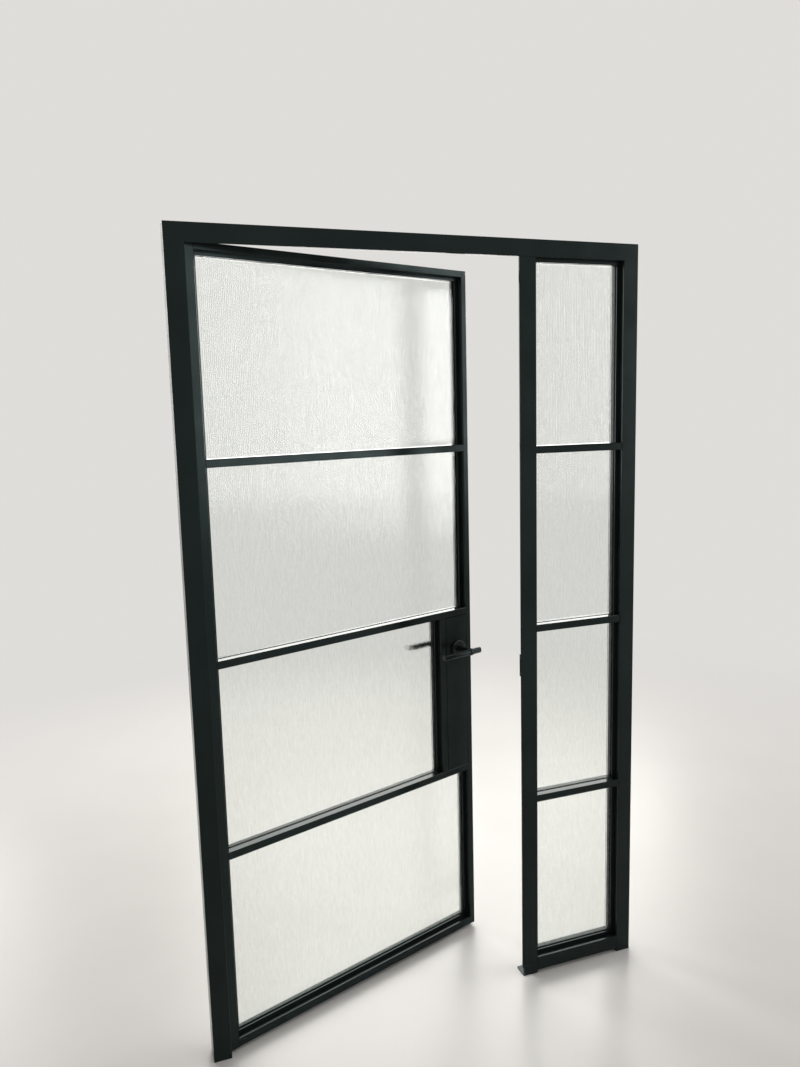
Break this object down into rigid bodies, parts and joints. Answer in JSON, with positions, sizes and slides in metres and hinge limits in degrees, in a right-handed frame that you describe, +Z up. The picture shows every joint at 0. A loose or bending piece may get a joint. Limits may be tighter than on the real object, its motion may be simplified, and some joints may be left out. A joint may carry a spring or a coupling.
{
  "type": "glass door",
  "caption": "Slim black framed door with reeded glass: a hinged leaf with level glazing bars and a bar lever, beside a fixed glazed side panel.",
  "frame": {"origin": "centre of the hinge jamb's foot, on the floor", "axes": "+X along the frame from the hinge side to the side panel, +Y from the stop side to the side the leaf opens to, +Z up"},
  "size_m": [1.2671, 0.3896, 2.1],
  "materials": {
    "black_coat": "satin powder coat",
    "lever_coat": "matt powder coat",
    "hinge_coat": "satin powder coat",
    "reeded_glass": "clear, upright reeds on the near face",
    "gasket_rubber": "matt",
    "zinc_steel": "zinc plated",
    "black_plastic": "moulded"
  },
  "bodies": {
    "frame": {"hinge_jamb": "black_coat", "outer_jamb": "black_coat", "head_rail": "black_coat", "mullion": "black_coat", "mullion_foot_plate": "black_coat", "panel_bottom_rail": "black_coat", "panel_bar_lower": "black_coat", "panel_bar_middle": "black_coat", "panel_bar_upper": "black_coat", "panel_glass_bottom": "reeded_glass", "panel_glass_lower": "reeded_glass", "panel_glass_upper": "reeded_glass", "panel_glass_top": "reeded_glass", "panel_beads_bottom": "black_coat", "panel_beads_lower": "black_coat", "panel_beads_upper": "black_coat", "panel_beads_top": "black_coat", "panel_gaskets": "gasket_rubber", "stop_seal": "gasket_rubber", "strike_plate": "black_coat", "strike_box": "black_plastic", "frame_hinges": "hinge_coat", "hinge_pins": "zinc_steel"},
    "leaf": {"hinge_stile": "black_coat", "lock_stile": "black_coat", "top_rail": "black_coat", "bottom_rail": "black_coat", "lock_bar": "black_coat", "leaf_bar_lower": "black_coat", "leaf_bar_middle": "black_coat", "leaf_bar_upper": "black_coat", "leaf_glass_bottom": "reeded_glass", "leaf_glass_lock": "reeded_glass", "leaf_glass_upper": "reeded_glass", "leaf_glass_top": "reeded_glass", "leaf_beads_bottom": "black_coat", "leaf_beads_lock": "black_coat", "leaf_beads_upper": "black_coat", "leaf_beads_top": "black_coat", "leaf_gaskets": "gasket_rubber", "lock_panel_near": "black_coat", "lock_panel_far": "black_coat", "rose_near": "lever_coat", "rose_far": "lever_coat", "lock_case": "zinc_steel", "lock_forend": "black_coat", "leaf_hinges": "hinge_coat"},
    "lever": {"lever_near": "lever_coat", "lever_far": "lever_coat", "spindle": "zinc_steel", "follower": "zinc_steel"},
    "latch": {"latch_bolt": "zinc_steel"}
  },
  "joints": [
    {"name": "leaf_hinge", "type": "hinge", "parent": "frame", "child": "leaf", "pos_m": [0.0155, 0.0325, 1.04], "axis": [0, 0, 1], "range_deg": [-18.6, 91.4]},
    {"name": "lever_turn", "type": "hinge", "parent": "leaf", "child": "lever", "pos_m": [0.80515, 0.26871, 0.94], "axis": [0.319, -0.9478, 0], "range_deg": [0, 42], "stiffness_Nm_per_rad": 1.5, "springref_deg": -28.65},
    {"name": "latch_slide", "type": "slide", "parent": "leaf", "child": "latch", "axis": [0.9478, 0.319, 0], "range_m": [0, 0.014]}
  ]
}
